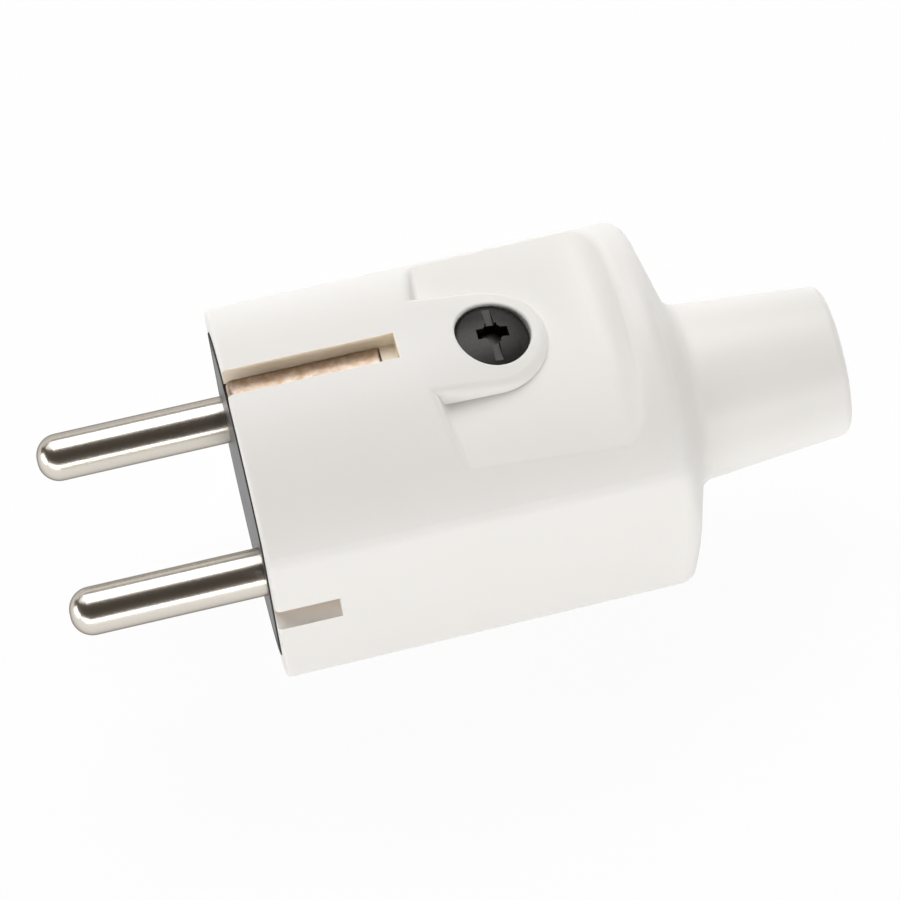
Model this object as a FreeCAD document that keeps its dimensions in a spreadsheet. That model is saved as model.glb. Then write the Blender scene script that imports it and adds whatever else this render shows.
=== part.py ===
import FreeCAD
import Part
import math
import os
import re
import Sketcher

# Rewirable earthed mains plug with two round pins and two side earth contacts.
# Frame, in millimetres: the origin lies on the contact carrier's front face, midway
# between the pins. +X runs to the cable end, the pins point to -X and lie along Y,
# and +Z is the side with the housing screw.

doc = FreeCAD.newDocument("type_f_plug")
sheet = doc.addObject("Spreadsheet::Sheet", "sizes")

DRIVING_SIZES = {
    # Contact pins
    "pin_diameter": 4.8,
    "pin_length": 19.3,
    "pin_spacing": 19.0,
    "pin_tip_round": 2.2,
    "pin_seat_step": 0.2,
    "pin_head_diameter": 7.2,
    "pin_head_length": 10.5,
    "wire_hole_diameter": 3.2,
    "wire_hole_depth": 7.5,
    "terminal_screw_setback": 5.0,
    # Housing, outside
    "body_diameter": 37.32,
    "body_draft": 0.33,
    "flats_across": 31.9,
    "body_length": 41.7,
    "rim_setback": 0.12,
    "rim_round": 0.45,
    "ridge_round": 2.5,
    "shoulder_lean": 17.0,
    "shoulder_round": 1.9,
    "sleeve_root_diameter": 18.06,
    "sleeve_end_diameter": 15.12,
    "sleeve_length": 15.75,
    "sleeve_root_round": 1.8,
    "sleeve_end_round": 0.9,
    # Housing, inside
    "opening_diameter": 33.0,
    "opening_flats": 26.8,
    "chamber_length": 36.2,
    "cable_hole_diameter": 10.0,
    # Earth slots and guide notches
    "earth_slot_width": 3.1,
    "earth_slot_end": 16.95,
    "guide_notch_width": 3.05,
    "guide_notch_rise": 0.475,
    "guide_notch_length": 6.4,
    "guide_notch_depth": 2.2,
    # Recessed grip panels, with panel_top measured down from the body's round
    "panel_top": 3.13,
    "panel_curve": 36.0,
    "panel_lean": 2.2,
    "panel_front": 19.0,
    "panel_rear": 38.9,
    "panel_front_slope": 19.0,
    "panel_rear_slope": 5.0,
    "panel_front_round": 0.5,
    "panel_lip_round": 1.0,
    "panel_rear_round": 2.3,
    # Raised pad around the housing screw
    "pad_width": 11.8,
    "pad_crest": 19.2,
    "pad_lean": 10.0,
    "pad_blend": 14.0,
    "pad_nose_place": 25.73,
    "screw_lean": 8.9,
    "pad_edge_round": 1.0,
    "housing_screw_place": 26.4,
    "screw_well_diameter": 7.45,
    "screw_well_depth": 2.3,
    "screw_well_round": 0.25,
    # Contact carrier
    "carrier_disc_depth": 5.0,
    "carrier_edge_round": 0.15,
    "carrier_block_end": 19.0,
    "carrier_block_height": 18.0,
    "tail_end": 37.5,
    "tail_thickness": 2.5,
    "tail_width": 21.0,
    "screw_arm_width": 10.5,
    "screw_arm_end": 31.0,
    "screw_arm_depth": 7.0,
    # Earth contacts and earth terminal, with strip_level measured down from the body's round
    "strip_thickness": 0.8,
    "strip_level": 1.9,
    "strip_front": 0.2,
    "strip_end": 15.3,
    "strip_bend_round": 0.75,
    "strip_end_round": 0.3,
    "leg_width": 5.0,
    "leg_overlap": 3.0,
    "earth_washer_width": 6.6,
    "earth_washer_thickness": 0.9,
    # Cord clamp
    "cord_diameter": 9.0,
    "clamp_place": 34.0,
    "clamp_length": 5.0,
    "clamp_thickness": 2.0,
    "clamp_screw_spacing": 18.4,
    "clamp_boss_diameter": 5.4,
    "clamp_seat_level": -1.5,
    # Screws and nut
    "small_screw_diameter": 3.0,
    "small_screw_head": 5.2,
    "small_screw_head_height": 1.8,
    "terminal_screw_length": 3.4,
    "earth_screw_length": 5.0,
    "clamp_screw_length": 6.5,
    "screw_slot_width": 0.8,
    "screw_slot_depth": 0.9,
    "housing_screw_diameter": 4.0,
    "housing_screw_length": 11.5,
    "housing_screw_head": 7.1,
    "housing_screw_head_height": 1.5,
    "housing_screw_dome": 0.65,
    "housing_slot_depth": 0.5,
    "cross_recess_width": 3.1,
    "cross_recess_breadth": 2.3,
    "cross_arm_width": 1.2,
    "cross_middle_diameter": 2.1,
    "cross_recess_depth": 1.5,
    "nut_width": 7.0,
    "nut_thickness": 3.2,
    "nut_depth": 7.2,
    # Clearances
    "slip": 0.1,
    "thread_clearance": 0.05,
    "overrun": 1.0,
}

# Sizes that follow from the ones above: what clears a pin or its head takes its size from them.
FOLLOWING_SIZES = {
    "pin_seat_diameter": "=pin_diameter + 2 * pin_seat_step",
    "terminal_bay_width": "=pin_head_diameter + 2 * slip",
    "chamber_flats": "=pin_spacing + pin_head_diameter + 4 * slip",
    "chamber_diameter": "=chamber_flats + 4 * slip",
}
SIZES = {**DRIVING_SIZES, **FOLLOWING_SIZES}

for row, (alias, content) in enumerate(SIZES.items(), start=1):
    sheet.set(f"A{row}", alias)
    sheet.set(f"B{row}", str(content))
    sheet.setAlias(f"B{row}", alias)
doc.recompute()


def bound(text):
    """The text of an expression, with each size's name tied to the sheet."""
    def tie(word):
        name = word.group(0)
        return f"sizes.{name}" if name in SIZES else name
    return re.sub(r"[a-z_]+", tie, text)


def value(alias):
    """A size, read back from the sheet."""
    return float(sheet.get(alias))


def bind(thing, **properties):
    for name, text in properties.items():
        thing.setExpression(name.replace("__", "."), bound(text))


def place(thing, x="0", y="0", z="0"):
    bind(thing, Placement__Base__x=x, Placement__Base__y=y, Placement__Base__z=z)


TURN_Z_TO_X = FreeCAD.Rotation(FreeCAD.Vector(0, 1, 0), 90)
TURN_XY_TO_XZ = FreeCAD.Rotation(FreeCAD.Vector(1, 0, 0), 90)


def block(name, x, y, z):
    """A box from the low and high ends of its three ranges."""
    made = doc.addObject("Part::Box", name)
    bind(made, Length=f"({x[1]}) - ({x[0]})", Width=f"({y[1]}) - ({y[0]})", Height=f"({z[1]}) - ({z[0]})")
    place(made, x[0], y[0], z[0])
    return made


def rod(name, diameter, start, length, y="0", z="0"):
    """A round bar along +X."""
    made = doc.addObject("Part::Cylinder", name)
    made.Placement = FreeCAD.Placement(FreeCAD.Vector(), TURN_Z_TO_X)
    bind(made, Radius=f"({diameter}) / 2", Height=length)
    place(made, start, y, z)
    return made


def post(name, diameter, x, y, bottom, height):
    """A round bar along +Z."""
    made = doc.addObject("Part::Cylinder", name)
    bind(made, Radius=f"({diameter}) / 2", Height=height)
    place(made, x, y, bottom)
    return made


def taper(name, first, last, start, length):
    """A cone frustum along +X."""
    made = doc.addObject("Part::Cone", name)
    made.Placement = FreeCAD.Placement(FreeCAD.Vector(), TURN_Z_TO_X)
    bind(made, Radius1=f"({first}) / 2", Radius2=f"({last}) / 2", Height=length)
    place(made, start)
    return made


def outline(holder, points):
    """Fills a sketch with a closed outline whose corners are tied to the sheet."""
    count = len(points)
    for index in range(count):
        turn = 2 * math.pi * index / count
        after = 2 * math.pi * (index + 1) / count
        start = FreeCAD.Vector(math.cos(turn), math.sin(turn), 0)
        finish = FreeCAD.Vector(math.cos(after), math.sin(after), 0)
        holder.addGeometry(Part.LineSegment(start, finish), False)
    for index in range(count):
        holder.addConstraint(Sketcher.Constraint("Coincident", index, 2, (index + 1) % count, 1))
    for index, (across, along) in enumerate(points):
        for kind, text in (("DistanceX", across), ("DistanceY", along)):
            number = holder.addConstraint(Sketcher.Constraint(kind, -1, 1, index, 1, 1.0))
            holder.setExpression(f"Constraints[{number}]", bound(text))
    return holder


def turned(name, points):
    """A body turned about X from an outline of lengths along X and radii."""
    body = doc.addObject("PartDesign::Body", name)
    sketch = body.newObject("Sketcher::SketchObject", f"{name}_outline")
    plane = [origin for origin in body.Origin.OriginFeatures if origin.Role == "XY_Plane"][0]
    sketch.AttachmentSupport = [(plane, "")]
    sketch.MapMode = "FlatFace"
    outline(sketch, points)
    turning = body.newObject("PartDesign::Revolution", f"{name}_turning")
    turning.Profile = sketch
    turning.ReferenceAxis = (sketch, ["H_Axis"])
    turning.Angle = 360
    return body


def prism(name, points, width):
    """A solid of one outline in X and Z, as wide across Y on each side."""
    sketch = doc.addObject("Sketcher::SketchObject", f"{name}_outline")
    sketch.Placement = FreeCAD.Placement(FreeCAD.Vector(), TURN_XY_TO_XZ)
    outline(sketch, points)
    made = doc.addObject("Part::Extrusion", name)
    made.Base = sketch
    made.DirMode = "Normal"
    made.Solid = True
    made.Symmetric = True
    bind(made, LengthFwd=width)
    return made


def fuse(name, *shapes):
    made = doc.addObject("Part::MultiFuse", name)
    made.Shapes = list(shapes)
    made.Refine = True
    return made


def common(name, *shapes):
    made = doc.addObject("Part::MultiCommon", name)
    made.Shapes = list(shapes)
    made.Refine = True
    return made


def cut(name, base, *tools):
    tool = tools[0] if len(tools) == 1 else fuse(f"{name}_tools", *tools)
    made = doc.addObject("Part::Cut", name)
    made.Base = base
    made.Tool = tool
    made.Refine = True
    return made


def mirrored(name, source, normal):
    made = doc.addObject("Part::Mirroring", name)
    made.Source = source
    made.Normal = normal
    return made


def edges_where(thing, test):
    """Numbers of the edges that pass a test at three points along them."""
    doc.recompute()
    found = []
    for number, edge in enumerate(thing.Shape.Edges, start=1):
        first, last = edge.ParameterRange
        spots = [edge.valueAt(first + share * (last - first)) for share in (0.1, 0.5, 0.9)]
        if all(test(spot) for spot in spots):
            found.append(number)
    return found


def rounded(name, base, *rounds):
    """A copy with rounded edges, from pairs of a radius's name and an edge test."""
    edges = []
    for alias, test in rounds:
        numbers = edges_where(base, test)
        assert numbers, f"{name}: no edge found for {alias}"
        edges += [(number, value(alias), value(alias)) for number in numbers]
    made = doc.addObject("Part::Fillet", name)
    made.Base = base
    made.Edges = edges
    doc.recompute()
    return made


def near(first, second, margin=0.01):
    return abs(first - second) < margin


def radius_at(spot):
    """Distance of a point from the plug's long axis."""
    return math.hypot(spot.y, spot.z)


SIDES = {"upper": 1, "lower": -1}
HANDS = {"line": 1, "neutral": -1}

# Housing: the outside of the body, with flats on both sides and a leaning rear shoulder.
def body_at(place):
    """The body's diameter at a place along X, less the draft towards the rear."""
    return f"(body_diameter - 2 * (({place}) - rim_setback) * tan(body_draft * 1 deg))"


SHOULDER_CORNER = "(rim_setback + body_length)"
SHOULDER_RUN = "tan(shoulder_lean * 1 deg)"
SHOULDER_END = (
    f"({SHOULDER_CORNER} + ({body_at(SHOULDER_CORNER)} - sleeve_root_diameter) / 2 * {SHOULDER_RUN})"
)
SLEEVE_END = f"({SHOULDER_END} + sleeve_length)"
SHOULDER_TIP = f"({SHOULDER_END} + overrun * {SHOULDER_RUN})"
BODY_OVERALL = f"({SHOULDER_TIP} - rim_setback)"

drum = taper("body_drum", "body_diameter", body_at(SHOULDER_TIP), "rim_setback", BODY_OVERALL)
slab = block(
    "body_slab",
    ("rim_setback - overrun", f"{SHOULDER_END} + overrun"),
    ("-flats_across / 2", "flats_across / 2"),
    ("-body_diameter", "body_diameter"),
)
shoulder = taper(
    "body_shoulder",
    f"sleeve_root_diameter - 2 * overrun + 2 * {BODY_OVERALL} / {SHOULDER_RUN}",
    "sleeve_root_diameter - 2 * overrun",
    "rim_setback",
    BODY_OVERALL,
)
body_sharp = common("body_sharp", drum, slab, shoulder)

half_flats = value("flats_across") / 2
rim_place = value("rim_setback")


def half_body(place):
    """The body's radius at a place along X, in numbers."""
    return value("body_diameter") / 2 - (place - rim_place) * math.tan(math.radians(value("body_draft")))


def on_ridge(spot):
    return near(abs(spot.y), half_flats) and near(radius_at(spot), half_body(spot.x))


body_ridged = rounded("body_ridged", body_sharp, ("ridge_round", on_ridge))

shoulder_slope = math.tan(math.radians(value("shoulder_lean")))
shoulder_corner = rim_place + value("body_length")


def on_shoulder_edge(spot):
    past_corner = (half_body(shoulder_corner) - radius_at(spot)) * shoulder_slope
    outside_sleeve = radius_at(spot) > value("sleeve_root_diameter") / 2 + 1
    return outside_sleeve and near(spot.x, shoulder_corner + past_corner)


def on_front_rim(spot):
    return near(spot.x, rim_place)


body_round = rounded(
    "body_round",
    body_ridged,
    ("shoulder_round", on_shoulder_edge),
    ("rim_round", on_front_rim),
)

# Housing: the cable sleeve, moulded in one with the body.
sleeve = taper(
    "sleeve",
    "sleeve_root_diameter + 2 * overrun * (sleeve_root_diameter - sleeve_end_diameter) / 2 / sleeve_length",
    "sleeve_end_diameter",
    f"{SHOULDER_END} - overrun",
    "sleeve_length + overrun",
)
body_sleeved = fuse("body_sleeved", body_round, sleeve)
doc.recompute()
sleeve_end_place = sleeve.Shape.BoundBox.XMax
sleeve_root_place = sleeve_end_place - value("sleeve_length")


def on_sleeve_root(spot):
    root_radius = value("sleeve_root_diameter") / 2
    return near(spot.x, sleeve_root_place, 0.05) and near(radius_at(spot), root_radius, 0.1)


def on_sleeve_end(spot):
    return near(spot.x, sleeve_end_place)


body_soft = rounded(
    "body_soft",
    body_sleeved,
    ("sleeve_root_round", on_sleeve_root),
    ("sleeve_end_round", on_sleeve_end),
)

# Housing: a shallow curved grip panel is sunk into the top and the bottom.
PANEL_HIGH = "(body_diameter / 2 + overrun)"
PANEL_TOP = "(body_diameter / 2 - panel_top)"
PANEL_LOW = f"({PANEL_TOP} - body_diameter / 4)"
panel_block = prism(
    "panel_block",
    [
        (f"panel_front + (body_diameter / 2 - {PANEL_LOW}) * tan(panel_front_slope * 1 deg)", PANEL_LOW),
        (f"panel_rear - (body_diameter / 2 - {PANEL_LOW}) * tan(panel_rear_slope * 1 deg)", PANEL_LOW),
        (f"panel_rear + ({PANEL_HIGH} - body_diameter / 2) * tan(panel_rear_slope * 1 deg)", PANEL_HIGH),
        (f"panel_front - ({PANEL_HIGH} - body_diameter / 2) * tan(panel_front_slope * 1 deg)", PANEL_HIGH),
    ],
    "body_diameter + overrun",
)
panel_floor = doc.addObject("Part::Cylinder", "panel_floor")
panel_floor.Placement = FreeCAD.Placement(
    FreeCAD.Vector(), FreeCAD.Rotation(FreeCAD.Vector(0, 1, 0), 90 + value("panel_lean"))
)
bind(
    panel_floor,
    Radius="panel_curve",
    Height="body_length + 2 * overrun",
    Placement__Rotation__Angle="(90 + panel_lean) * 1 deg",
)
place(
    panel_floor,
    "-panel_curve * sin(panel_lean * 1 deg)",
    "0",
    f"{PANEL_TOP} + (panel_front + panel_rear) / 2 * tan(panel_lean * 1 deg) - panel_curve",
)
panel_sharp = cut("panel_sharp", panel_block, panel_floor)


def on_panel_floor(spot):
    axis_z = panel_floor.Placement.Base.z - spot.x * math.tan(math.radians(value("panel_lean")))
    return near(math.hypot(spot.y, spot.z - axis_z), value("panel_curve"), 0.1)


panel_middle = (value("panel_front") + value("panel_rear")) / 2
half_panel = (value("body_diameter") + value("overrun")) / 2


def on_panel_rear(spot):
    return on_panel_floor(spot) and spot.x > panel_middle and not near(abs(spot.y), half_panel)


def on_panel_front(spot):
    return on_panel_floor(spot) and spot.x < panel_middle and not near(abs(spot.y), half_panel)


panel_tool = rounded(
    "panel_tool",
    panel_sharp,
    ("panel_rear_round", on_panel_rear),
    ("panel_front_round", on_panel_front),
)
panel_tools = [panel_tool, mirrored("panel_tool_below", panel_tool, FreeCAD.Vector(0, 0, 1))]
body_gripped = cut("body_gripped", body_soft, *panel_tools)


def on_panel_lip(spot):
    wall_slope = math.tan(math.radians(value("panel_front_slope")))
    wall_place = value("panel_front") + (value("body_diameter") / 2 - abs(spot.z)) * wall_slope
    return near(spot.x, wall_place, 0.05) and near(radius_at(spot), half_body(spot.x), 0.05)


body_lipped = rounded("body_lipped", body_gripped, ("panel_lip_round", on_panel_lip))

# Housing: the raised pad round the screw well runs out of the front of the body and leans back.
PAD_DROP = "tan(pad_lean * 1 deg)"
PAD_START = "(pad_crest - 0.9 * pad_blend * tan(pad_lean * 0.5 deg))"
PAD_BACK = "(pad_crest - pad_blend / 3)"
PAD_END = "(pad_nose_place + pad_width / 2 + overrun)"
PAD_LEVEL = f"({body_at('pad_crest')} / 2 - (housing_screw_place - pad_crest) * {PAD_DROP})"
pad_round_sharp = turned(
    "pad_round_sharp",
    [
        (PAD_BACK, "0"),
        (PAD_END, "0"),
        (PAD_END, f"{body_at('pad_crest')} / 2 - ({PAD_END} - pad_crest) * {PAD_DROP}"),
        ("pad_crest", f"{body_at('pad_crest')} / 2"),
        (PAD_BACK, f"{body_at(PAD_BACK)} / 2"),
    ],
)


def on_pad_crest(spot):
    return near(spot.x, value("pad_crest")) and near(radius_at(spot), half_body(spot.x))


pad_round = rounded("pad_round", pad_round_sharp, ("pad_blend", on_pad_crest))
pad_tongue = fuse(
    "pad_tongue",
    block(
        "pad_bar",
        (PAD_START, "pad_nose_place"),
        ("-pad_width / 2", "pad_width / 2"),
        ("chamber_diameter / 2 - overrun", "body_diameter"),
    ),
    post(
        "pad_nose",
        "pad_width",
        "pad_nose_place",
        "0",
        "chamber_diameter / 2 - overrun",
        "body_diameter",
    ),
)
pad_sharp = common("pad_sharp", pad_tongue, pad_round)
half_pad = value("pad_width") / 2


def on_pad_edge(spot):
    on_top = spot.z > value("body_diameter") / 2 - value("panel_top")
    beside = near(abs(spot.y), half_pad)
    nose = near(math.hypot(spot.x - value("pad_nose_place"), spot.y), half_pad)
    return on_top and ((beside and spot.x <= value("pad_nose_place") + 0.01) or nose)


pad = rounded("pad", pad_sharp, ("pad_edge_round", on_pad_edge))
body_padded = fuse("body_padded", body_lipped, pad)

# Housing: the stepped hollow for the contact carrier, the wiring chamber and the cable hole.
carrier_opening = common(
    "carrier_opening",
    rod(
        "opening_round",
        "opening_diameter",
        "rim_setback - overrun",
        "carrier_disc_depth - rim_setback + overrun",
    ),
    block(
        "opening_slab",
        ("rim_setback - overrun", "carrier_disc_depth"),
        ("-opening_flats / 2", "opening_flats / 2"),
        ("-opening_diameter", "opening_diameter"),
    ),
)
CHAMBER_END = "(carrier_disc_depth + chamber_length)"
FUNNEL_END = f"({CHAMBER_END} + (chamber_diameter - cable_hole_diameter) / 2 * {SHOULDER_RUN})"
chamber = common(
    "chamber",
    turned(
        "chamber_round",
        [
            ("carrier_disc_depth - overrun", "0"),
            (f"{SLEEVE_END} + overrun", "0"),
            (f"{SLEEVE_END} + overrun", "cable_hole_diameter / 2"),
            (FUNNEL_END, "cable_hole_diameter / 2"),
            (CHAMBER_END, "chamber_diameter / 2"),
            ("carrier_disc_depth - overrun", "chamber_diameter / 2"),
        ],
    ),
    block(
        "chamber_slab",
        ("carrier_disc_depth - overrun", f"{SLEEVE_END} + overrun"),
        ("-chamber_flats / 2", "chamber_flats / 2"),
        ("-chamber_diameter", "chamber_diameter"),
    ),
)

# Housing: an earth slot above and below, open inwards for the strip's leg, and a guide notch in
# each flat. The notches are alike when the plug is turned half round.
STRIP_TOP = "(body_diameter / 2 - strip_level)"
SLOT_FLOOR = f"({STRIP_TOP} - slip)"
earth_slots = []
for side, sign in SIDES.items():
    leg_path = ("chamber_diameter / 2 - overrun", "body_diameter")
    leg_path_end = "strip_end + slip"
    slot_rest = (SLOT_FLOOR, "body_diameter")
    if sign < 0:
        leg_path = ("-body_diameter", "overrun - chamber_diameter / 2")
        leg_path_end = "strip_end + strip_thickness + slip"
        slot_rest = ("-body_diameter", f"-{SLOT_FLOOR}")
    across = ("-earth_slot_width / 2", "earth_slot_width / 2")
    earth_slots.append(block(
        f"earth_slot_{side}", ("rim_setback - overrun", leg_path_end), across, leg_path))
    earth_slots.append(block(
        f"earth_slot_{side}_rest", ("rim_setback", "earth_slot_end"), across, slot_rest))
NOTCH_FLOOR = "flats_across / 2 - guide_notch_depth"
guide_notches = [
    block(
        f"guide_notch_{hand}",
        ("rim_setback - overrun", "rim_setback + guide_notch_length"),
        (NOTCH_FLOOR, "flats_across") if sign > 0 else ("-flats_across", f"-({NOTCH_FLOOR})"),
        (
            f"{-sign} * guide_notch_rise - guide_notch_width / 2",
            f"{-sign} * guide_notch_rise + guide_notch_width / 2",
        ),
    )
    for hand, sign in HANDS.items()
]


# Housing: the well and the hole of the housing screw stand square to the leaning pad.
def along_screw(thing, depth):
    """Turns a piece made along Z to the housing screw's line, depth below the pad."""
    thing.Placement = FreeCAD.Placement(
        FreeCAD.Vector(), FreeCAD.Rotation(FreeCAD.Vector(0, 1, 0), value("screw_lean"))
    )
    bind(thing, Placement__Rotation__Angle="screw_lean * 1 deg")
    place(
        thing,
        f"housing_screw_place - ({depth}) * sin(screw_lean * 1 deg)",
        "0",
        f"{PAD_LEVEL} - ({depth}) * cos(screw_lean * 1 deg)",
    )
    return thing


def screw_bar(name, diameter, depth, length):
    """A round bar on the housing screw's line, up from a depth below the pad."""
    made = doc.addObject("Part::Cylinder", name)
    bind(made, Radius=f"({diameter}) / 2", Height=length)
    return along_screw(made, depth)


screw_well = screw_bar(
    "screw_well",
    "screw_well_diameter",
    "screw_well_depth",
    "screw_well_depth + pad_width / 2",
)
screw_hole = screw_bar(
    "screw_hole",
    "housing_screw_diameter + 4 * slip",
    "screw_well_depth + pad_width / 2",
    "screw_well_depth + pad_width",
)
housing_sharp = cut(
    "housing_sharp",
    body_padded,
    carrier_opening,
    chamber,
    *earth_slots,
    *guide_notches,
    screw_well,
    screw_hole,
)
doc.recompute()
screw_line = screw_well.Placement.Rotation.multVec(FreeCAD.Vector(0, 0, 1))
screw_point = screw_well.Placement.Base


def on_well_rim(spot):
    offset = spot - screw_point
    height = offset.dot(screw_line)
    sideways = (offset - screw_line * height).Length
    return near(sideways, value("screw_well_diameter") / 2) and height > value("screw_well_depth") / 2


housing = rounded("housing", housing_sharp, ("screw_well_round", on_well_rim))

# Contact carrier: a front disc, a terminal block behind it, an arm for the nut and a cord tail.
CARRIER_DIAMETER = "(opening_diameter - 2 * slip)"
CARRIER_FLATS = "(opening_flats - 2 * slip)"
STRIP_SEAT = f"({STRIP_TOP} - strip_thickness)"
carrier_disc_sharp = common(
    "carrier_disc_sharp",
    rod("carrier_round", CARRIER_DIAMETER, "0", "carrier_disc_depth"),
    block(
        "carrier_slab",
        ("-overrun", "carrier_disc_depth + overrun"),
        (f"-{CARRIER_FLATS} / 2", f"{CARRIER_FLATS} / 2"),
        ("-opening_diameter", "opening_diameter"),
    ),
)


def on_carrier_edge(spot):
    return near(spot.x, 0)


carrier_disc = rounded("carrier_disc", carrier_disc_sharp, ("carrier_edge_round", on_carrier_edge))
TAIL_FLOOR = "(tail_thickness - carrier_block_height / 2)"
clamp_bosses = [
    post(
        f"clamp_boss_{hand}",
        "clamp_boss_diameter",
        "clamp_place",
        f"{sign} * clamp_screw_spacing / 2",
        f"{TAIL_FLOOR} - overrun",
        f"clamp_seat_level - {TAIL_FLOOR} + overrun",
    )
    for hand, sign in HANDS.items()
]
cord_rib = block(
    "cord_rib",
    ("clamp_place - clamp_length / 4", "clamp_place + clamp_length / 4"),
    ("-cord_diameter / 2", "cord_diameter / 2"),
    (f"{TAIL_FLOOR} - overrun", "-cord_diameter / 2 - slip"),
)
BLOCK_DIAMETER = "(chamber_diameter - 4 * slip)"
carrier_block = common(
    "carrier_block",
    rod(
        "block_round",
        BLOCK_DIAMETER,
        "carrier_disc_depth - overrun",
        "tail_end - carrier_disc_depth + overrun",
    ),
    fuse(
        "block_parts",
        block(
            "terminal_block",
            ("carrier_disc_depth - overrun", "carrier_block_end"),
            ("2 * slip - chamber_flats / 2", "chamber_flats / 2 - 2 * slip"),
            ("-carrier_block_height / 2", "carrier_block_height / 2"),
        ),
        block(
            "tail_plate",
            ("carrier_block_end - overrun", "tail_end"),
            ("-tail_width / 2", "tail_width / 2"),
            ("-carrier_block_height / 2", "tail_thickness - carrier_block_height / 2"),
        ),
        block(
            "screw_arm",
            ("carrier_disc_depth", "screw_arm_end"),
            ("-screw_arm_width / 2", "screw_arm_width / 2"),
            ("carrier_block_height / 2 - overrun - screw_arm_depth / 3", "chamber_diameter / 2"),
        ),
        *clamp_bosses,
        cord_rib,
    ),
)
STRIP_RIB = "(earth_slot_width - 2 * slip)"
LEG_FRONT = "(strip_end - strip_thickness)"
strip_ribs = [
    block(
        f"strip_rib_{side}",
        ("carrier_disc_depth - overrun", LEG_FRONT),
        (f"-{STRIP_RIB} / 2", f"{STRIP_RIB} / 2"),
        ("carrier_block_height / 2 - overrun", STRIP_SEAT) if sign > 0
        else (f"-{STRIP_SEAT}", "overrun - carrier_block_height / 2"),
    )
    for side, sign in SIDES.items()
]
carrier_solid = fuse("carrier_solid", carrier_disc, carrier_block, *strip_ribs)

# Contact carrier: pin holes, terminal bays, the earth contacts' slot and the screw holes.
PIN_HOLE = "pin_seat_diameter + 2 * thread_clearance"
BAY_WALL = "(pin_spacing / 2 - terminal_bay_width / 2)"
carrier_cuts = []
for hand, sign in HANDS.items():
    carrier_cuts.append(rod(
        f"pin_hole_{hand}",
        PIN_HOLE,
        "-overrun",
        "carrier_disc_depth + 2 * overrun",
        f"{sign} * pin_spacing / 2",
    ))
    carrier_cuts.append(block(
        f"terminal_bay_{hand}",
        ("carrier_disc_depth", "carrier_block_end + overrun"),
        (BAY_WALL, "chamber_flats") if sign > 0 else ("-chamber_flats", f"-{BAY_WALL}"),
        ("-terminal_bay_width / 2", "carrier_block_height"),
    ))
    carrier_cuts.append(post(
        f"clamp_screw_hole_{hand}",
        "small_screw_diameter + 2 * thread_clearance",
        "clamp_place",
        f"{sign} * clamp_screw_spacing / 2",
        "clamp_seat_level - clamp_screw_length",
        "clamp_screw_length + overrun",
    ))
for side, sign in SIDES.items():
    carrier_cuts.append(block(
        f"strip_groove_{side}",
        ("-overrun", "carrier_disc_depth + overrun"),
        ("-earth_slot_width / 2", "earth_slot_width / 2"),
        (STRIP_SEAT, "body_diameter") if sign > 0 else ("-body_diameter", f"-{STRIP_SEAT}"),
    ))
carrier_cuts.append(block(
    "leg_slot",
    (LEG_FRONT, "strip_end + strip_thickness"),
    ("-leg_width / 2 - slip", "leg_width / 2 + slip"),
    ("-body_diameter", "body_diameter"),
))
carrier_cuts.append(block(
    "earth_bay",
    ("strip_end + strip_thickness - overrun", "carrier_block_end + overrun"),
    ("-earth_washer_width / 2 - slip", "earth_washer_width / 2 + slip"),
    ("-earth_washer_width / 2 - slip", "earth_washer_width / 2 + slip"),
))
EARTH_SCREW_SEAT = "(strip_end + strip_thickness + earth_washer_thickness)"
carrier_cuts.append(rod(
    "earth_screw_hole",
    "small_screw_diameter + 2 * slip",
    f"{EARTH_SCREW_SEAT} - earth_screw_length - overrun",
    "earth_screw_length + overrun",
))
NUT_FLOOR = "(nut_depth + nut_thickness)"
carrier_cuts.append(screw_bar(
    "arm_screw_hole",
    "housing_screw_diameter + 4 * slip",
    "pad_width + screw_arm_depth",
    "pad_width + body_diameter",
))
carrier_cuts.append(screw_bar(
    "arm_head_space", "housing_screw_head + 4 * slip", "screw_well_depth + slip", "pad_width"))
nut_bay = doc.addObject("Part::Box", "nut_bay")
bind(
    nut_bay,
    Length="screw_arm_end",
    Width="nut_width + 2 * slip",
    Height="nut_thickness + 2 * slip",
)
nut_bay_spot = along_screw(nut_bay, f"{NUT_FLOOR} + slip")
bind(
    nut_bay_spot,
    Placement__Base__x=(
        f"housing_screw_place - ({NUT_FLOOR} + slip) * sin(screw_lean * 1 deg)"
        " - (nut_width / 2 + slip) * cos(screw_lean * 1 deg)"
    ),
    Placement__Base__y="-nut_width / 2 - slip",
    Placement__Base__z=(
        f"{PAD_LEVEL} - ({NUT_FLOOR} + slip) * cos(screw_lean * 1 deg)"
        " + (nut_width / 2 + slip) * sin(screw_lean * 1 deg)"
    ),
)
carrier_cuts.append(nut_bay)
contact_carrier = cut("contact_carrier", carrier_solid, *carrier_cuts)

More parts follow.
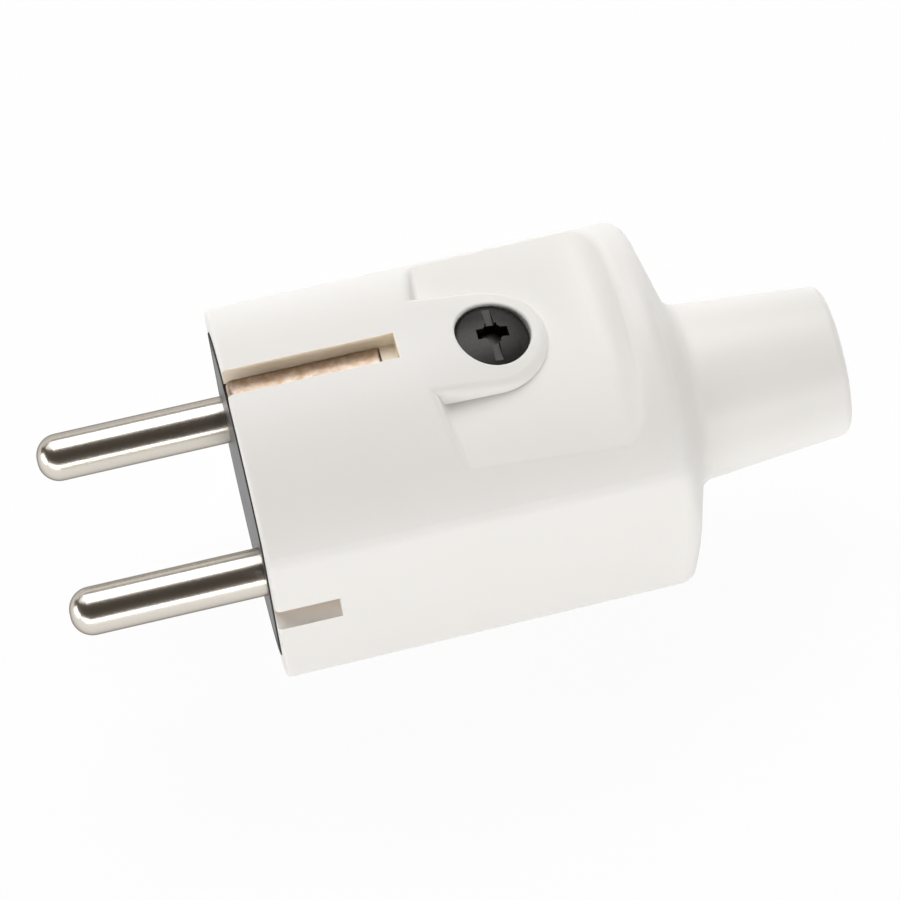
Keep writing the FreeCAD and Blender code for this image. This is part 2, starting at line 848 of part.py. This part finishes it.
# Contact pins: turned nickel-plated brass, with a drilled and tapped terminal head.
TERMINAL_SCREW_PLACE = "(carrier_disc_depth + terminal_screw_setback)"
PIN_HEAD_END = "(carrier_disc_depth + pin_head_length)"
pins = {}
for hand, sign in HANDS.items():
    blank = turned(
        f"{hand}_pin_blank",
        [
            ("-pin_length", "0"),
            (PIN_HEAD_END, "0"),
            (PIN_HEAD_END, "pin_head_diameter / 2"),
            ("carrier_disc_depth", "pin_head_diameter / 2"),
            ("carrier_disc_depth", "pin_seat_diameter / 2"),
            ("0", "pin_seat_diameter / 2"),
            ("0", "pin_diameter / 2"),
            ("-pin_length", "pin_diameter / 2"),
        ],
    )
    place(blank, y=f"{sign} * pin_spacing / 2")
    pin_axis = sign * value("pin_spacing") / 2

    def on_pin_tip(spot, pin_axis=pin_axis):
        return near(spot.x, -value("pin_length")) and math.hypot(spot.y - pin_axis, spot.z) > 1

    tipped = rounded(f"{hand}_pin_tipped", blank, ("pin_tip_round", on_pin_tip))
    pins[f"{hand}_pin"] = cut(
        f"{hand}_pin",
        tipped,
        rod(
            f"{hand}_wire_hole",
            "wire_hole_diameter",
            f"{PIN_HEAD_END} - wire_hole_depth",
            "wire_hole_depth + overrun",
            f"{sign} * pin_spacing / 2",
        ),
        post(
            f"{hand}_terminal_hole",
            "small_screw_diameter + 2 * thread_clearance",
            TERMINAL_SCREW_PLACE,
            f"{sign} * pin_spacing / 2",
            "0",
            "pin_head_diameter",
        ),
    )


# Small screws: slotted cheese heads, turned about X and then set on their own lines.
def small_screw(name, length):
    """A slotted screw along X, with its head's underside at 0 and its shank towards -X."""
    blank = turned(
        f"{name}_blank",
        [
            (f"-({length})", "0"),
            ("small_screw_head_height", "0"),
            ("small_screw_head_height", "small_screw_head / 2"),
            ("0", "small_screw_head / 2"),
            ("0", "small_screw_diameter / 2"),
            (f"-({length})", "small_screw_diameter / 2"),
        ],
    )
    slot = block(
        f"{name}_slot",
        ("small_screw_head_height - screw_slot_depth", "small_screw_head_height + overrun"),
        ("-screw_slot_width / 2", "screw_slot_width / 2"),
        ("-small_screw_head", "small_screw_head"),
    )
    return cut(name, blank, slot)


TURN_X_TO_Z = FreeCAD.Rotation(FreeCAD.Vector(0, 1, 0), -90)


def upright_pair(name, length, x, spacing, seat):
    """Two like screws that stand along Z, one on each side of the plug's middle."""
    screws = []
    for hand, sign in HANDS.items():
        screw = small_screw(f"{name}_{hand}", length)
        screw.Placement = FreeCAD.Placement(FreeCAD.Vector(), TURN_X_TO_Z)
        place(screw, x, f"{sign} * {spacing} / 2", seat)
        screws.append(screw)
    group = doc.addObject("Part::Compound", name)
    group.Links = screws
    return group


TERMINAL_SEAT = "(pin_head_diameter / 2 + slip)"
CLAMP_TOP = "(clamp_seat_level + clamp_thickness)"
terminal_screws = upright_pair(
    "terminal_screws", "terminal_screw_length", TERMINAL_SCREW_PLACE, "pin_spacing", TERMINAL_SEAT)
cord_clamp_screws = upright_pair(
    "cord_clamp_screws", "clamp_screw_length", "clamp_place", "clamp_screw_spacing", CLAMP_TOP)
earth_terminal_screw = small_screw("earth_terminal_screw", "earth_screw_length")
place(earth_terminal_screw, EARTH_SCREW_SEAT)

# Earth contacts: bent strips that lie in the earth slots, with legs that meet at the earth terminal.
LEG_TOP = "(chamber_diameter / 2 - overrun)"
earth_contacts = {}
for side, sign in SIDES.items():
    leg_front = LEG_FRONT if sign > 0 else "strip_end"
    leg_rear = f"({leg_front} + strip_thickness)"
    bent = fuse(
        f"earth_strip_{side}",
        block(
            f"earth_strip_{side}_flat",
            ("strip_front", leg_rear),
            ("slip - earth_slot_width / 2", "earth_slot_width / 2 - slip"),
            (STRIP_SEAT, STRIP_TOP),
        ),
        block(
            f"earth_strip_{side}_neck",
            (leg_front, leg_rear),
            ("slip - earth_slot_width / 2", "earth_slot_width / 2 - slip"),
            (f"{LEG_TOP} - overrun", STRIP_TOP),
        ),
        block(
            f"earth_strip_{side}_leg",
            (leg_front, leg_rear),
            ("-leg_width / 2", "leg_width / 2"),
            ("-leg_overlap", LEG_TOP),
        ),
    )
    doc.recompute()
    strip_rear = bent.Shape.BoundBox.XMax

    def on_strip_front(spot):
        at_level = near(spot.z, value("body_diameter") / 2 - value("strip_level"))
        return at_level and near(spot.x, value("strip_front"))

    def on_strip_end(spot, strip_rear=strip_rear):
        at_level = near(spot.z, value("body_diameter") / 2 - value("strip_level"))
        return at_level and near(spot.x, strip_rear)

    strip = rounded(
        f"earth_strip_{side}_bent",
        bent,
        ("strip_bend_round", on_strip_front),
        ("strip_end_round", on_strip_end),
    )
    drilled = cut(
        f"earth_contact_{side}_drilled",
        strip,
        rod(
            f"earth_contact_{side}_hole",
            "small_screw_diameter + 2 * slip",
            f"{leg_front} - overrun",
            "strip_thickness + 2 * overrun",
        ),
    )
    if sign > 0:
        earth_contacts["earth_contact_upper"] = drilled
    else:
        flipped = mirrored("earth_contact_lower", drilled, FreeCAD.Vector(0, 0, 1))
        earth_contacts["earth_contact_lower"] = flipped
earth_clamp_washer = cut(
    "earth_clamp_washer",
    block(
        "earth_washer_plate",
        ("strip_end + strip_thickness", EARTH_SCREW_SEAT),
        ("-earth_washer_width / 2", "earth_washer_width / 2"),
        ("-earth_washer_width / 2", "earth_washer_width / 2"),
    ),
    rod(
        "earth_washer_hole",
        "small_screw_diameter + 2 * slip",
        "strip_end",
        "strip_thickness + earth_washer_thickness + overrun",
    ),
)

# Cord clamp: a moulded saddle that arches over the cord and is screwed down on two bosses.
CLAMP_WIDTH = "(clamp_screw_spacing + clamp_boss_diameter)"
clamp_arch = common(
    "clamp_arch",
    rod(
        "clamp_arch_round",
        "cord_diameter + 2 * clamp_thickness",
        "clamp_place - clamp_length / 2",
        "clamp_length",
    ),
    block(
        "clamp_arch_slab",
        ("clamp_place - clamp_length", "clamp_place + clamp_length"),
        (f"-{CLAMP_WIDTH}", CLAMP_WIDTH),
        ("clamp_seat_level", "cord_diameter"),
    ),
)
clamp_ears = block(
    "clamp_ears",
    ("clamp_place - clamp_length / 2", "clamp_place + clamp_length / 2"),
    (f"-{CLAMP_WIDTH} / 2", f"{CLAMP_WIDTH} / 2"),
    ("clamp_seat_level", CLAMP_TOP),
)
cord_clamp = cut(
    "cord_clamp",
    fuse("clamp_solid", clamp_arch, clamp_ears),
    rod("clamp_cord_space", "cord_diameter", "clamp_place - clamp_length", "2 * clamp_length"),
    *[
        post(
            f"clamp_ear_hole_{hand}",
            "small_screw_diameter + 2 * slip",
            "clamp_place",
            f"{sign} * clamp_screw_spacing / 2",
            "clamp_seat_level - overrun",
            "clamp_thickness + 2 * overrun",
        )
        for hand, sign in HANDS.items()
    ],
)

# Housing screw: a domed head with a slot and a cross recess, and the square nut that it pulls up.
screw_blank = turned(
    "housing_screw_blank",
    [
        ("-housing_screw_length", "0"),
        ("housing_screw_head_height", "0"),
        ("housing_screw_head_height", "housing_screw_head / 2"),
        ("0", "housing_screw_head / 2"),
        ("0", "housing_screw_diameter / 2"),
        ("-housing_screw_length", "housing_screw_diameter / 2"),
    ],
)
DOME_RADIUS = "((housing_screw_head / 2)^2 + housing_screw_dome^2) / (2 * housing_screw_dome)"
dome_ball = doc.addObject("Part::Sphere", "housing_screw_dome_ball")
bind(dome_ball, Radius=DOME_RADIUS)
place(dome_ball, f"housing_screw_head_height + housing_screw_dome - {DOME_RADIUS}")
screw_dome = common(
    "housing_screw_cap",
    dome_ball,
    rod(
        "housing_screw_cap_round",
        "housing_screw_head",
        "housing_screw_head_height / 2",
        "housing_screw_head_height + housing_screw_dome",
    ),
)
SCREW_CROWN = "(housing_screw_head_height + housing_screw_dome)"
housing_screw_upright = cut(
    "housing_screw_upright",
    fuse("housing_screw_domed", screw_blank, screw_dome),
    block(
        "housing_screw_slot",
        (f"{SCREW_CROWN} - housing_slot_depth", f"{SCREW_CROWN} + overrun"),
        ("-housing_screw_head", "housing_screw_head"),
        ("-screw_slot_width / 2", "screw_slot_width / 2"),
    ),
    *[
        block(
            f"housing_screw_cross_{name}",
            (f"{SCREW_CROWN} - cross_recess_depth", f"{SCREW_CROWN} + overrun"),
            (f"-{across} / 2", f"{across} / 2"),
            (f"-{along} / 2", f"{along} / 2"),
        )
        for name, across, along in (
            ("first", "cross_recess_breadth", "cross_arm_width"),
            ("second", "cross_arm_width", "cross_recess_width"),
        )
    ],
    rod(
        "housing_screw_cross_middle",
        "cross_middle_diameter",
        f"{SCREW_CROWN} - cross_recess_depth",
        "cross_recess_depth + overrun",
    ),
)


def set_on_screw_line(thing, depth):
    """Sets a piece made along X on the housing screw's line."""
    thing.Placement = FreeCAD.Placement(
        FreeCAD.Vector(), FreeCAD.Rotation(FreeCAD.Vector(0, 1, 0), value("screw_lean") - 90)
    )
    bind(thing, Placement__Rotation__Angle="(screw_lean - 90) * 1 deg")
    place(
        thing,
        f"housing_screw_place - ({depth}) * sin(screw_lean * 1 deg)",
        "0",
        f"{PAD_LEVEL} - ({depth}) * cos(screw_lean * 1 deg)",
    )
    return thing


housing_screw = set_on_screw_line(housing_screw_upright, "screw_well_depth")
housing_nut_flat = cut(
    "housing_nut_flat",
    block(
        "nut_block",
        ("0", "nut_thickness"),
        ("-nut_width / 2", "nut_width / 2"),
        ("-nut_width / 2", "nut_width / 2"),
    ),
    rod(
        "nut_hole",
        "housing_screw_diameter + 2 * thread_clearance",
        "-overrun",
        "nut_thickness + 2 * overrun",
    ),
)
housing_nut = set_on_screw_line(housing_nut_flat, NUT_FLOOR)

# Every finished piece, by the name of its file.
PIECES = {
    "housing": housing,
    "contact_carrier": contact_carrier,
    **pins,
    "terminal_screws": terminal_screws,
    **earth_contacts,
    "earth_terminal_screw": earth_terminal_screw,
    "earth_clamp_washer": earth_clamp_washer,
    "cord_clamp": cord_clamp,
    "cord_clamp_screws": cord_clamp_screws,
    "housing_screw": housing_screw,
    "housing_nut": housing_nut,
}
doc.recompute()

for thing in doc.Objects:
    assert not {"Invalid", "Error"} & set(thing.State), f"{thing.Name} failed: {thing.State}"
for name, piece in PIECES.items():
    piece.Label = name
    assert not piece.Shape.isNull() and piece.Shape.isValid(), f"{name} has no valid shape"

os.makedirs("parts", exist_ok=True)
for name, piece in PIECES.items():
    piece.Shape.exportStep(f"parts/{name}.step")
    print(name, len(piece.Shape.Solids), "solids,", round(piece.Shape.Volume, 1), "cubic mm")
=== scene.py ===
import bmesh
import bpy
from mathutils import Matrix, Vector


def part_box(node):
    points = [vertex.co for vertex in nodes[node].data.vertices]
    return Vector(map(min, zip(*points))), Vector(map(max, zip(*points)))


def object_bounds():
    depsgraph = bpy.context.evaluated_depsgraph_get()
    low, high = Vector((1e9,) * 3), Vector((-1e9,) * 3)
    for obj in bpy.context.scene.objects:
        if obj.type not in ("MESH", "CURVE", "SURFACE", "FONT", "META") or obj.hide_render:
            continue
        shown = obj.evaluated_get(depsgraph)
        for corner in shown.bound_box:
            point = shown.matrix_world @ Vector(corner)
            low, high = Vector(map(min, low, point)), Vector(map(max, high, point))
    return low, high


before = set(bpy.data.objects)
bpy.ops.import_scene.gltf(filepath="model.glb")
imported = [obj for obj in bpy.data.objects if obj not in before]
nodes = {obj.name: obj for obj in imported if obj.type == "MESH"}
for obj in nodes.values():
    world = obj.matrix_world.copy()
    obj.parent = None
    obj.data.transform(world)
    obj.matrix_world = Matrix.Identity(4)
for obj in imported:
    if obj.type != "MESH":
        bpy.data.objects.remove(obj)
cad_low, cad_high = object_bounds()


# Housing
# One moulding of warm white satin plastic: the round body with its flats, the grip panels,
# the screw pad and the cable sleeve. The earth slots hold painted warm light, the guide notches painted
# shade.
def new_finish(name):
    """Starts a finish and returns its material, node tree and shader."""
    material = bpy.data.materials.new(name)
    material.use_nodes = True
    tree = material.node_tree
    return material, tree, tree.nodes["Principled BSDF"]


housing_plastic, tree, shader = new_finish("housing_plastic")
shader.inputs["IOR"].default_value = 1.5
place = tree.nodes.new("ShaderNodeTexCoord").outputs["Object"]


def mottle(tree, place, scale, detail, roughness=0.5):
    """Returns a cloudy pattern of the given fineness."""
    pattern = tree.nodes.new("ShaderNodeTexNoise")
    pattern.inputs["Scale"].default_value = scale
    pattern.inputs["Detail"].default_value = detail
    pattern.inputs["Roughness"].default_value = roughness
    tree.links.new(place, pattern.inputs["Vector"])
    return pattern.outputs["Fac"]


cloud = mottle(tree, place, scale=90, detail=3)
grain = mottle(tree, place, scale=5200, detail=2)


def mix_colours(tree, share, first, second):
    """Returns a mix of two colours, each a plain colour or another node's output."""
    mix = tree.nodes.new("ShaderNodeMix")
    mix.data_type = "RGBA"
    tree.links.new(share, mix.inputs["Factor"])
    for socket, colour in ((mix.inputs["A"], first), (mix.inputs["B"], second)):
        if isinstance(colour, tuple):
            socket.default_value = colour
        else:
            tree.links.new(colour, socket)
    return mix.outputs["Result"]


colour = mix_colours(tree, cloud, (0.838, 0.823, 0.797, 1), (0.863, 0.849, 0.824, 1))


def spread(tree, value, low, high, start=0, end=1):
    """Returns a value carried over from the range start to end to the range low to high."""
    carried = tree.nodes.new("ShaderNodeMapRange")
    carried.inputs["From Min"].default_value = start
    carried.inputs["From Max"].default_value = end
    carried.inputs["To Min"].default_value = low
    carried.inputs["To Max"].default_value = high
    tree.links.new(value, carried.inputs["Value"])
    return carried.outputs["Result"]


def reckon(tree, operation, *values):
    """Returns a number worked out from others, each a plain number or another node's output."""
    sum_node = tree.nodes.new("ShaderNodeMath")
    sum_node.operation = operation
    for socket, value in zip(sum_node.inputs, values):
        if isinstance(value, (int, float)):
            socket.default_value = value
        else:
            tree.links.new(value, socket)
    return sum_node.outputs[0]


def paint_recess_light_and_shade(tree, place, colour, inner, outer, across, depth, half_width, bottom, top, end):
    """Returns the colour with painted light and shade in a pair of opposite recesses, going from inner
    at their bottom to outer at their top."""
    axes = tree.nodes.new("ShaderNodeSeparateXYZ")
    tree.links.new(place, axes.inputs["Vector"])
    sideways = reckon(tree, "ABSOLUTE", axes.outputs[across])
    level = reckon(tree, "ABSOLUTE", axes.outputs[depth])
    inside = reckon(tree, "LESS_THAN", sideways, half_width)
    inside = reckon(tree, "MULTIPLY", inside, reckon(tree, "GREATER_THAN", level, bottom))
    inside = reckon(tree, "MULTIPLY", inside, reckon(tree, "LESS_THAN", level, top))
    inside = reckon(tree, "MULTIPLY", inside, reckon(tree, "LESS_THAN", axes.outputs["X"], end))
    stain_and_painted_light = mix_colours(tree, spread(tree, level, 0, 1, bottom, top), inner, outer)
    return mix_colours(tree, inside, colour, stain_and_painted_light)


# the earth slots, above and below, painted with the warm light bounced off the bronze strips
colour = paint_recess_light_and_shade(
    tree, place, colour,
    inner=(0.94, 0.86, 0.73, 1), outer=(0.95, 0.87, 0.75, 1),
    across="Y", depth="Z", half_width=0.00158, bottom=0.0140, top=0.0187, end=0.0171,
)
# the guide notches, in the two flats, painted with shade that is darkest deep inside
colour = paint_recess_light_and_shade(
    tree, place, colour,
    inner=(0.74, 0.68, 0.61, 1), outer=(0.96, 0.94, 0.91, 1),
    across="Z", depth="Y", half_width=0.00203, bottom=0.0137, top=0.0159, end=0.0066,
)
skin = tree.nodes.new("ShaderNodeBump")
skin.inputs["Strength"].default_value = 0.06
skin.inputs["Distance"].default_value = 0.00003
tree.links.new(grain, skin.inputs["Height"])
tree.links.new(colour, shader.inputs["Base Color"])
tree.links.new(spread(tree, grain, 0.38, 0.50), shader.inputs["Roughness"])
tree.links.new(skin.outputs["Normal"], shader.inputs["Normal"])


def dress(material, *names):
    """Gives pieces their finish."""
    for name in names:
        nodes[name].data.materials.clear()
        nodes[name].data.materials.append(material)


dress(housing_plastic, "housing")

# Contact carrier and cord clamp
# A glossy near-black moulding of hard plastic that holds the pins and the earth contacts. Its gloss
# falls off towards its edge. The cord clamp is a small saddle of the same plastic on its tail.
carrier_low, carrier_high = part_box("contact_carrier")
edge_round = 0.00015
round_edge = carrier_high.z - edge_round
flat_edge = carrier_high.y - edge_round
matt_width = 0.0016
matt_roughness = 0.5
carrier_plastic, tree, shader = new_finish("carrier_plastic")
place = tree.nodes.new("ShaderNodeTexCoord").outputs["Object"]
flow = mottle(tree, place, scale=400, detail=4)
colour = mix_colours(tree, flow, (0.012, 0.011, 0.012, 1), (0.030, 0.028, 0.030, 1))
axes = tree.nodes.new("ShaderNodeSeparateXYZ")
tree.links.new(place, axes.inputs["Vector"])
sideways = reckon(tree, "ABSOLUTE", axes.outputs["Y"])
width_squared = reckon(tree, "MULTIPLY", axes.outputs["Y"], axes.outputs["Y"])
reach_squared = reckon(tree, "MULTIPLY_ADD", axes.outputs["Z"], axes.outputs["Z"], width_squared)
reach = reckon(tree, "SQRT", reach_squared)
near_round = spread(tree, reach, 0, 1, round_edge - matt_width, round_edge)
near_flat = spread(tree, sideways, 0, 1, flat_edge - matt_width, flat_edge)
near_edge = reckon(tree, "MAXIMUM", near_round, near_flat)
gloss = spread(tree, flow, 0.34, 0.48)
tree.links.new(colour, shader.inputs["Base Color"])
tree.links.new(reckon(tree, "MULTIPLY_ADD", near_edge, matt_roughness, gloss), shader.inputs["Roughness"])
dress(carrier_plastic, "contact_carrier", "cord_clamp")

# Contact pins
# Turned brass, nickel plated and polished, with a round tip. Each sits in the carrier on a
# collar and ends in a drilled terminal head behind it.
nickel_plate, tree, shader = new_finish("nickel_plate")
shader.inputs["Metallic"].default_value = 1
shader.inputs["Specular Tint"].default_value = (0.25, 0.24, 0.22, 1)
place = tree.nodes.new("ShaderNodeTexCoord").outputs["Object"]
turning_marks = tree.nodes.new("ShaderNodeMapping")
turning_marks.inputs["Scale"].default_value = (9000, 300, 300)
tree.links.new(place, turning_marks.inputs["Vector"])
turning = mottle(tree, turning_marks.outputs["Vector"], scale=1, detail=3)
colour = mix_colours(tree, turning, (0.68, 0.635, 0.565, 1), (0.73, 0.69, 0.63, 1))
tree.links.new(colour, shader.inputs["Base Color"])
tree.links.new(spread(tree, turning, 0.21, 0.27), shader.inputs["Roughness"])
dress(nickel_plate, "line_pin", "neutral_pin")

# Earth contacts
# Springy bronze strips that lie in the slots above and below, a little dulled and stained.
# Their legs meet behind the carrier's disc under the earth terminal.
earth_bronze, tree, shader = new_finish("earth_bronze")
shader.inputs["Metallic"].default_value = 0.55
shader.inputs["Coat Weight"].default_value = 1
shader.inputs["Coat Roughness"].default_value = 0.22
place = tree.nodes.new("ShaderNodeTexCoord").outputs["Object"]
stain_and_painted_light = mottle(tree, place, scale=900, detail=5, roughness=0.65)
tint = tree.nodes.new("ShaderNodeValToRGB")
stained, clean = tint.color_ramp.elements
stained.position = 0.35
stained.color = (0.36, 0.235, 0.135, 1)
clean.position = 0.68
clean.color = (0.57, 0.47, 0.39, 1)
tree.links.new(stain_and_painted_light, tint.inputs["Fac"])
tree.links.new(tint.outputs["Color"], shader.inputs["Base Color"])
tree.links.new(spread(tree, stain_and_painted_light, 0.46, 0.26), shader.inputs["Roughness"])
dress(earth_bronze, "earth_contact_upper", "earth_contact_lower")

# Inner screws, washer and nut
# Zinc plated steel: slotted terminal and clamp screws, the earth washer and the square nut that
# the housing screw pulls up.
zinc_steel, tree, shader = new_finish("zinc_steel")
shader.inputs["Metallic"].default_value = 1
place = tree.nodes.new("ShaderNodeTexCoord").outputs["Object"]
spangle = mottle(tree, place, scale=1500, detail=3)
colour = mix_colours(tree, spangle, (0.52, 0.53, 0.55, 1), (0.70, 0.70, 0.70, 1))
tree.links.new(colour, shader.inputs["Base Color"])
tree.links.new(spread(tree, spangle, 0.25, 0.42), shader.inputs["Roughness"])
dress(zinc_steel, "terminal_screws", "cord_clamp_screws")
dress(zinc_steel, "earth_terminal_screw", "earth_clamp_washer", "housing_nut")

# Housing screw
# A blackened steel screw with a domed head, a slot and a cross recess, sunk in the pad's well.
# It holds the housing to the carrier by the nut in the carrier's arm.
black_steel, tree, shader = new_finish("black_steel")
shader.inputs["Metallic"].default_value = 0.6
place = tree.nodes.new("ShaderNodeTexCoord").outputs["Object"]
smut = mottle(tree, place, scale=2500, detail=4)
colour = mix_colours(tree, smut, (0.012, 0.012, 0.012, 1), (0.036, 0.034, 0.031, 1))
tree.links.new(colour, shader.inputs["Base Color"])
tree.links.new(spread(tree, smut, 0.30, 0.46), shader.inputs["Roughness"])
dress(black_steel, "housing_screw")

# Floor
# A plain white table just under the plug. The camera and the glossy pieces see it near white,
# and it keeps a soft shadow.
floor_gap = 0.0003
floor_half_side = 3
white_share = 0.95
floor_shape = bmesh.new()
bmesh.ops.create_grid(floor_shape, x_segments=1, y_segments=1, size=floor_half_side)
bmesh.ops.translate(floor_shape, verts=floor_shape.verts, vec=(0, 0, cad_low.z - floor_gap))
floor_mesh = bpy.data.meshes.new("floor")
floor_shape.to_mesh(floor_mesh)
floor_shape.free()
floor = bpy.data.objects.new("floor", floor_mesh)
bpy.context.scene.collection.objects.link(floor)
floor_white, tree, shader = new_finish("floor_white")
shader.inputs["Base Color"].default_value = (0.90, 0.90, 0.90, 1)
shader.inputs["Roughness"].default_value = 0.9
shader.inputs["Specular IOR Level"].default_value = 0
glow = tree.nodes.new("ShaderNodeEmission")
glow.inputs["Strength"].default_value = 1
ray = tree.nodes.new("ShaderNodeLightPath")
seen = reckon(tree, "MAXIMUM", ray.outputs["Is Camera Ray"], ray.outputs["Is Glossy Ray"])
blend = tree.nodes.new("ShaderNodeMixShader")
tree.links.new(reckon(tree, "MULTIPLY", seen, white_share), blend.inputs[0])
tree.links.new(shader.outputs[0], blend.inputs[1])
tree.links.new(glow.outputs[0], blend.inputs[2])
tree.links.new(blend.outputs[0], tree.nodes["Material Output"].inputs["Surface"])
floor_mesh.materials.append(floor_white)

# Light
# A plain studio: a soft box above and behind the plug, a pale wall behind it, and low strips in
# front and at the pins that stand in for the lit table. The rest of the room is dim.
lamps_aim = Vector((0.021, 0, 0))
world = bpy.data.worlds.new("studio")
bpy.context.scene.world = world
world.use_nodes = True
sky = world.node_tree.nodes["Background"]
sky.inputs["Color"].default_value = (1.0, 0.82, 0.64, 1)
sky.inputs["Strength"].default_value = 0.06
for name, spot, wide, tall, power in (
    ("box_behind_high", (0.021, 0.3286, 0.6181), 0.56, 0.56, 3.17),
    ("wall_behind", (0.021, 0.7762, 0.1935), 1.60, 0.34, 1.30),
    ("box_behind_cable_side", (0.3392, 0.3792, 0.4950), 0.40, 0.40, 1.09),
    ("box_behind_pin_side", (-0.2972, 0.3792, 0.4950), 0.40, 0.40, 0.62),
    ("strip_pin_end", (-0.6722, 0, 0.0974), 0.50, 0.18, 1.30),
    ("strip_front", (0.021, -0.6968, 0.0671), 1.20, 0.11, 2.70),
    ("strip_front_cable_side", (0.5099, -0.4889, 0.1095), 0.50, 0.20, 0.90),
    ("strip_front_pin_side", (-0.4679, -0.4889, 0.1095), 0.50, 0.20, 0.66),
):
    lamp = bpy.data.lights.new(name, "AREA")
    lamp.shape = "RECTANGLE"
    lamp.size = wide
    lamp.size_y = tall
    lamp.energy = power
    holder = bpy.data.objects.new(name, lamp)
    holder.location = spot
    holder.rotation_euler = (lamps_aim - Vector(spot)).to_track_quat("-Z", "Y").to_euler()
    bpy.context.scene.collection.objects.link(holder)

# Camera
# The photograph's view: from above, in front of the plug's near flat, with the pins to the left.
# Its axes and its stand are those of the view that the pins' known sizes give.
right = Vector((0.97168, -0.22697, -0.06571))
up = Vector((0.22263, 0.78623277, 0.57643205))
back = Vector((-0.07916543, -0.57473887, 0.81449866))
stand = Vector((-0.010760, -0.230240, 0.325799))
lens = bpy.data.cameras.new("camera")
lens.sensor_width = 36
lens.lens = 160.886
lens.clip_start = 0.01
lens.clip_end = 20
camera = bpy.data.objects.new("camera", lens)
turn = Matrix((right, up, back)).transposed().to_4x4()
camera.matrix_world = Matrix.Translation(stand) @ turn
bpy.context.scene.collection.objects.link(camera)
bpy.context.scene.camera = camera
bpy.context.scene.view_settings.view_transform = "Standard"
